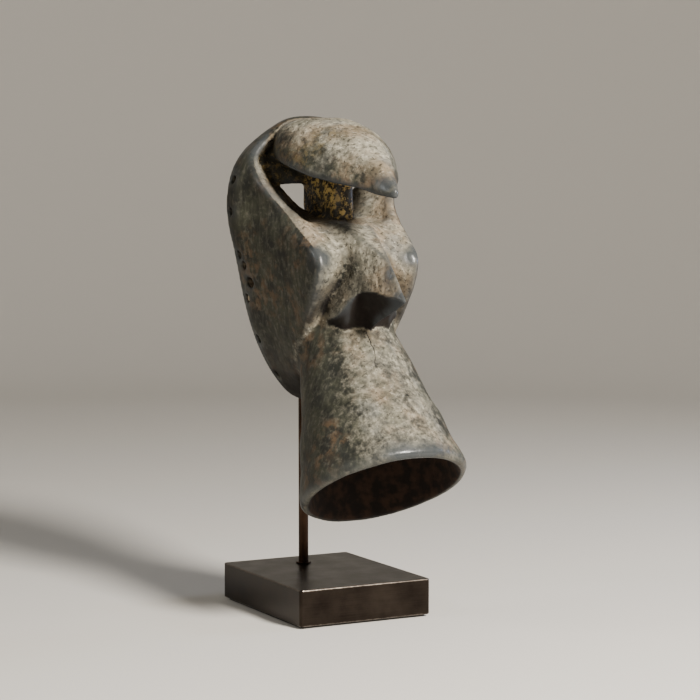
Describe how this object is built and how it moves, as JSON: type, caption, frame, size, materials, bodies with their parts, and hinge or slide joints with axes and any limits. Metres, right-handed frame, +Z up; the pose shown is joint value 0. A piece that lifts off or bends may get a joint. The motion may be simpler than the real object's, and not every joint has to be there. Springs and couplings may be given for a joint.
{
  "type": "carved wooden mask on a stand",
  "caption": "Carved wooden face mask with a visor forehead, a beak nose and a funnel mouth, on a steel stand whose armature turns, lifts off and lets the mask go.",
  "frame": {"origin": "centre of the felt's underside, where the stand rests", "axes": "+Z up, -Y the way the mask faces, +X to the mask's own left"},
  "size_m": [0.1254, 0.1995, 0.346],
  "materials": {
    "carved_wood": "hand-carved hardwood with a dark smoked patina, grey-beige earth crust and worn, polished ridges",
    "base_steel": "hot-rolled steel bar, blackened and waxed, with rubbed edges",
    "rod_steel": "drawn steel rod and tube, browned and waxed",
    "screw_steel": "plain machine steel screws, lightly oiled",
    "felt": "pressed wool felt, black",
    "sleeve": "soft translucent silicone tube"
  },
  "bodies": {
    "stand": {"base_felt": "felt", "base_plate": "base_steel", "post": "rod_steel", "post_ring": "rod_steel", "post_bolt": "screw_steel", "bolt_washer": "screw_steel", "lock_collar": "rod_steel", "collar_screw": "screw_steel"},
    "stem": {"stem": "rod_steel", "stop_ring": "rod_steel"},
    "armature": {"upper_block": "rod_steel", "upper_block_screw": "screw_steel", "stay_block": "rod_steel", "stay_block_screw": "screw_steel", "chin_stay": "rod_steel", "stay_pad": "felt", "side_arm_right": "rod_steel", "side_arm_left": "rod_steel", "arm_screw_right": "screw_steel", "arm_screw_left": "screw_steel", "mask_body": "carved_wood"},
    "prong_right": {"prong_right": "rod_steel", "prong_sleeve_right": "sleeve"},
    "prong_left": {"prong_left": "rod_steel", "prong_sleeve_left": "sleeve"}
  },
  "joints": [
    {"name": "stem_swivel", "type": "hinge", "parent": "stand", "child": "stem", "pos_m": [0, 0.0335, 0.16], "axis": [0, 0, 1], "continuous": true},
    {"name": "armature_lift", "type": "slide", "parent": "stem", "child": "armature", "axis": [0, 0, 1], "range_m": [0, 0.06]},
    {"name": "prong_slide_right", "type": "slide", "parent": "armature", "child": "prong_right", "axis": [1, 0, 0], "range_m": [0, 0.0095]},
    {"name": "prong_slide_left", "type": "slide", "parent": "armature", "child": "prong_left", "axis": [-1, 0, 0], "range_m": [0, 0.0095]}
  ]
}
